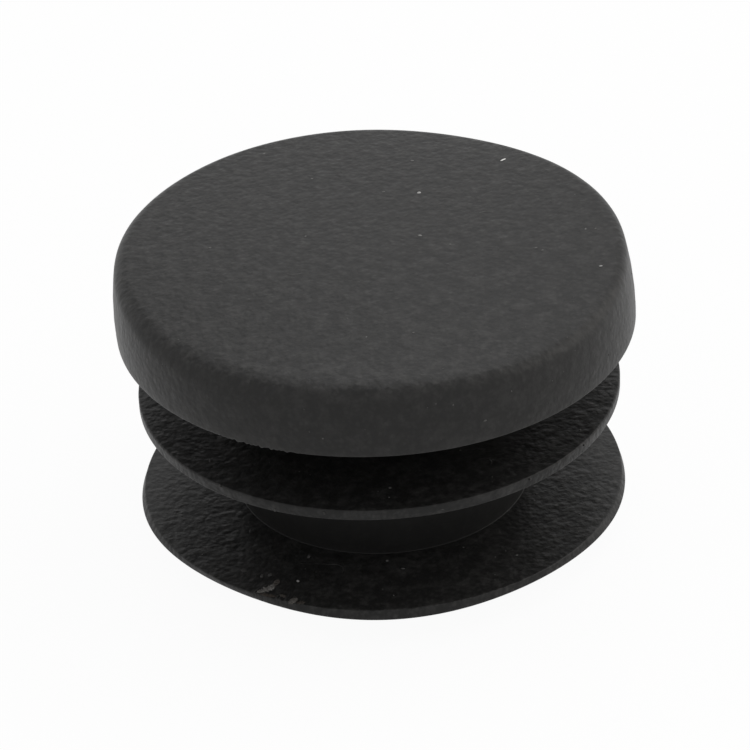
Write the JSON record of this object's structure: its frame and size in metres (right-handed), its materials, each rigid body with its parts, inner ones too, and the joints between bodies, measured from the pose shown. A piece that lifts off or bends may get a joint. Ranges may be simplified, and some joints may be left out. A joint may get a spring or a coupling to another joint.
{
  "type": "round insert cap",
  "caption": "Round push-in cap for a tube end: crowned head on a hollow stem with two thin flexible sealing fins.",
  "frame": {"origin": "centre of the head's underside, the seat plane that meets the tube's end", "axes": "+Z along the axis, up through the head; the stem and its fins point to -Z"},
  "size_m": [0.025, 0.025, 0.0148],
  "materials": {
    "moulding": "fine pebbled grain, near-black polyethylene"
  },
  "bodies": {
    "root": {"insert_cap": "moulding"}
  },
  "joints": []
}
